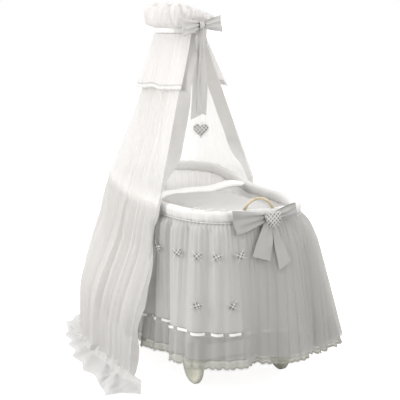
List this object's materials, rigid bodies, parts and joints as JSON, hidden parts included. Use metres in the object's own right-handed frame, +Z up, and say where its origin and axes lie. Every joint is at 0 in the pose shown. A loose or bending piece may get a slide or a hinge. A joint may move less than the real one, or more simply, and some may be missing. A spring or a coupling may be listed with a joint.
{
  "type": "bassinet on stand",
  "caption": "Oval wicker bassinet on a wheeled stand, with a long gathered skirt, padded rim, bedding and a veil canopy hung from a rod.",
  "frame": {"origin": "on the floor, under the middle of the basket", "axes": "+X across the basket to the right seen from the foot end, +Y towards the head end, +Z up"},
  "size_m": [0.995, 1.405, 1.4826],
  "materials": {
    "ivory_wood": "ivory lacquer, satin",
    "beech": "oiled beech",
    "zinc_steel": "zinc plated",
    "white_steel": "white enamel",
    "cream_plastic": "moulded cream",
    "cream_tyre": "cream rubber",
    "wicker": "natural cane, clear varnish",
    "ticking": "white cotton",
    "quilted_cotton": "white cotton piqué",
    "gathered_cotton": "gathered white cotton",
    "voile": "sheer voile",
    "lace": "ecru lace",
    "satin": "satin",
    "check_cotton": "grey and white check",
    "taffeta": "grey taffeta",
    "sheer_veil": "sheer cotton tulle"
  },
  "bodies": {
    "stand": {"leg_front_left": "ivory_wood", "leg_front_right": "ivory_wood", "leg_rear_left": "ivory_wood", "leg_rear_right": "ivory_wood", "side_rail_left": "ivory_wood", "side_rail_right": "ivory_wood", "end_rail_foot": "ivory_wood", "end_rail_head": "ivory_wood", "stretcher_foot": "ivory_wood", "stretcher_head": "ivory_wood", "locating_pegs": "beech", "stand_bolts": "zinc_steel", "axle_front": "zinc_steel", "axle_rear": "zinc_steel", "axle_caps": "cream_plastic", "brake_brackets": "zinc_steel", "brake_pins": "zinc_steel"},
    "wheel_front_left": {"wheel_front_left": "cream_plastic", "tyre_front_left": "cream_tyre"},
    "wheel_front_right": {"wheel_front_right": "cream_plastic", "tyre_front_right": "cream_tyre"},
    "wheel_rear_left": {"wheel_rear_left": "cream_plastic", "tyre_rear_left": "cream_tyre"},
    "wheel_rear_right": {"wheel_rear_right": "cream_plastic", "tyre_rear_right": "cream_tyre"},
    "brake_left": {"brake_lever_left": "cream_plastic"},
    "brake_right": {"brake_lever_right": "cream_plastic"},
    "basket": {"basket_base": "beech", "basket_wall": "wicker", "basket_bearers": "beech", "basket_screws": "zinc_steel", "handle_foot": "wicker", "mattress": "ticking", "pillow": "ticking", "coverlet": "quilted_cotton", "head_lining": "gathered_cotton", "padded_rim": "gathered_cotton", "skirt_upper": "voile", "skirt_flounce": "voile", "hem_lace": "lace", "skirt_ribbon": "satin", "skirt_motifs": "check_cotton", "foot_bow": "taffeta", "foot_bow_heart": "check_cotton", "pole_bracket": "zinc_steel", "pole_socket": "zinc_steel"},
    "clamp": {"clamp_screw": "zinc_steel"},
    "canopy": {"canopy_pole": "white_steel", "canopy_ring": "white_steel", "veil": "sheer_veil", "veil_train": "sheer_veil", "veil_border_left": "taffeta", "veil_border_right": "taffeta", "valance": "sheer_veil", "crown_ruffle": "sheer_veil", "neck_band": "satin", "top_bow": "taffeta", "top_bow_tails": "taffeta", "heart_pendant": "check_cotton"}
  },
  "joints": [
    {"name": "wheel_front_left_spin", "type": "hinge", "parent": "stand", "child": "wheel_front_left", "pos_m": [-0.194, -0.336, 0.082], "axis": [1, 0, 0], "continuous": true},
    {"name": "wheel_front_right_spin", "type": "hinge", "parent": "stand", "child": "wheel_front_right", "pos_m": [0.194, -0.336, 0.082], "axis": [1, 0, 0], "continuous": true},
    {"name": "wheel_rear_left_spin", "type": "hinge", "parent": "stand", "child": "wheel_rear_left", "pos_m": [-0.194, 0.336, 0.082], "axis": [1, 0, 0], "continuous": true},
    {"name": "wheel_rear_right_spin", "type": "hinge", "parent": "stand", "child": "wheel_rear_right", "pos_m": [0.194, 0.336, 0.082], "axis": [1, 0, 0], "continuous": true},
    {"name": "brake_left_press", "type": "hinge", "parent": "stand", "child": "brake_left", "pos_m": [-0.194, 0.367, 0.184], "axis": [1, 0, 0], "range_deg": [-20, 0]},
    {"name": "brake_right_press", "type": "hinge", "parent": "stand", "child": "brake_right", "pos_m": [0.194, 0.367, 0.184], "axis": [1, 0, 0], "range_deg": [-20, 0]},
    {"name": "basket_lift", "type": "slide", "parent": "stand", "child": "basket", "axis": [0, 0, 1], "range_m": [0, 0.15]},
    {"name": "canopy_height", "type": "slide", "parent": "basket", "child": "canopy", "axis": [0, 0, 1], "range_m": [0, 0.06]},
    {"name": "clamp_screw_turn", "type": "hinge", "parent": "basket", "child": "clamp", "pos_m": [0, 0.4237, 0.702], "axis": [0, -1, 0], "range_deg": [0, 180]}
  ]
}
